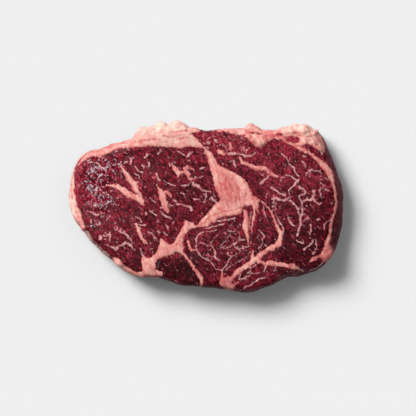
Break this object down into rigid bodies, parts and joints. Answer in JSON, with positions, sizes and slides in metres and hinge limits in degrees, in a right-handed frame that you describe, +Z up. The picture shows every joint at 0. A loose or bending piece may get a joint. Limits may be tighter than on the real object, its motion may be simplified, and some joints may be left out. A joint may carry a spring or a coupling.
{
  "type": "raw beef steak",
  "caption": "Raw boneless ribeye steak, a thick oval slice of marbled red beef with a cap of pale fat, lying flat.",
  "frame": {"origin": "under the middle of the steak's box, on the surface it lies on", "axes": "+X along the slice, from the eye muscle's end to the cap's end; +Y towards the fat-covered edge; +Z up"},
  "size_m": [0.19, 0.119, 0.0274],
  "materials": {
    "raw_meat": "moist dark red lean with pale pink marbling and fat, softly glossy"
  },
  "bodies": {
    "root": {"steak": "raw_meat"}
  },
  "joints": []
}
